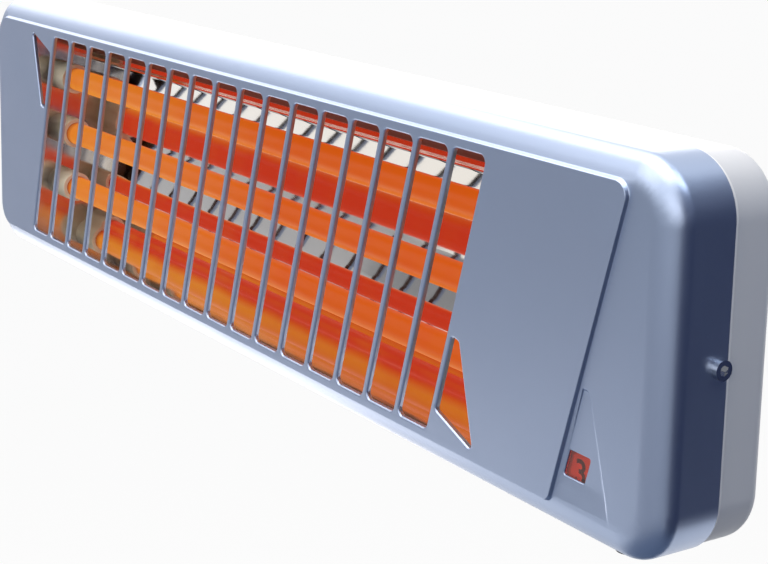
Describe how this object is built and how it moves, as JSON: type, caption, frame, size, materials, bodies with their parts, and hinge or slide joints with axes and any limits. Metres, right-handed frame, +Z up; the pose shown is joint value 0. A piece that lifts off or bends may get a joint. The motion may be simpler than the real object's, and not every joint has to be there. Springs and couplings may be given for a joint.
{
  "type": "wall-mounted electric bar heater",
  "caption": "Shallow wall infrared heater with a slotted silver front, glowing quartz tubes before a polished reflector, a pull-cord switch with a number window and a tilting wall bracket.",
  "frame": {"origin": "Middle of the wall bracket's back face, on the wall's surface.", "axes": "+Y points into the wall and the grille faces -Y. +X runs along the casing, to the right seen from the front. +Z is up."},
  "size_m": [0.5784, 0.094, 0.1415],
  "materials": {
    "silver_paint": "satin silver-grey baked paint",
    "grey_paint": "satin light grey baked paint",
    "polished_reflector": "bright polished aluminium sheet",
    "polished_plate": "bright plated steel",
    "shield_steel": "bare zinc-plated sheet",
    "quartz": "clear fused quartz, lit orange from inside",
    "glowing_coil": "resistance wire at glowing heat",
    "cream_ceramic": "unglazed cream steatite",
    "spring_steel": "spring steel strip and wire",
    "terminal_steel": "nickel-plated",
    "cutout_body": "dark moulded resin",
    "switch_plastic": "black heat-resistant plastic",
    "lever_steel": "stamped plated steel",
    "disc_white": "white plastic",
    "spindle_plastic": "natural nylon",
    "red_window": "clear red plastic",
    "bush_black": "black nylon",
    "block_ceramic": "white ceramic",
    "zinc_screws": "bright zinc plating",
    "brass_fittings": "plain brass",
    "chrome_screw": "bright chrome plating",
    "wire_blue": "blue sleeved wire",
    "wire_brown": "brown sleeved wire",
    "wire_red": "red sleeved wire",
    "wire_white": "white glass-fibre sleeved wire"
  },
  "bodies": {
    "bracket": {"wall_bracket": "grey_paint"},
    "housing": {"back_shell": "grey_paint", "cable_inlet_bush": "bush_black", "cap_clips_left": "spring_steel", "cap_clips_right": "spring_steel", "ceramic_cap_left_lower": "cream_ceramic", "ceramic_cap_left_middle": "cream_ceramic", "ceramic_cap_left_upper": "cream_ceramic", "ceramic_cap_right_lower": "cream_ceramic", "ceramic_cap_right_middle": "cream_ceramic", "ceramic_cap_right_upper": "cream_ceramic", "chassis_screws": "zinc_screws", "clamp_screws": "zinc_screws", "common_wire": "wire_blue", "cord_clamp": "shield_steel", "earth_nut": "brass_fittings", "earth_stud": "brass_fittings", "feed_wire": "wire_red", "front_cover": "silver_paint", "heat_shield": "shield_steel", "heating_coil_lower": "glowing_coil", "heating_coil_middle": "glowing_coil", "heating_coil_upper": "glowing_coil", "lever_spring": "spring_steel", "link_bar": "terminal_steel", "live_wire": "wire_brown", "lug_screws": "zinc_screws", "pivot_bolts": "zinc_screws", "pivot_lug_left": "grey_paint", "pivot_lug_right": "grey_paint", "pivot_nuts": "zinc_screws", "pivot_washers": "zinc_screws", "pull_cord_bush": "bush_black", "quartz_tube_lower": "quartz", "quartz_tube_middle": "quartz", "quartz_tube_upper": "quartz", "reflector": "polished_reflector", "reflector_saddles": "shield_steel", "side_nuts": "zinc_screws", "side_screws": "chrome_screw", "stage_wire_lower": "wire_white", "stage_wire_middle": "wire_white", "stage_wire_upper": "wire_white", "switch_body": "switch_plastic", "switch_bracket": "shield_steel", "switch_tabs": "terminal_steel", "terminal_block": "block_ceramic", "terminal_screws": "brass_fittings", "thermal_cutout": "cutout_body", "tube_support_left": "polished_plate", "tube_support_right": "polished_plate", "tube_terminals_left": "terminal_steel", "tube_terminals_right": "terminal_steel", "window_lens": "red_window"},
    "lever": {"pull_lever": "lever_steel"},
    "dial": {"number_disc": "disc_white", "switch_spindle": "spindle_plastic"}
  },
  "joints": [
    {"name": "tilt", "type": "hinge", "parent": "bracket", "child": "housing", "pos_m": [0, -0.03, 0], "axis": [1, 0, 0], "range_deg": [0, 30]},
    {"name": "pull", "type": "hinge", "parent": "housing", "child": "lever", "pos_m": [0.2436, -0.0792, -0.0307], "axis": [0, 1, 0], "range_deg": [0, 45], "stiffness_Nm_per_rad": 0.25, "springref_deg": -22.92},
    {"name": "stage", "type": "hinge", "parent": "housing", "child": "dial", "pos_m": [0.2436, -0.074, -0.0307], "axis": [0, 1, 0], "continuous": true}
  ]
}
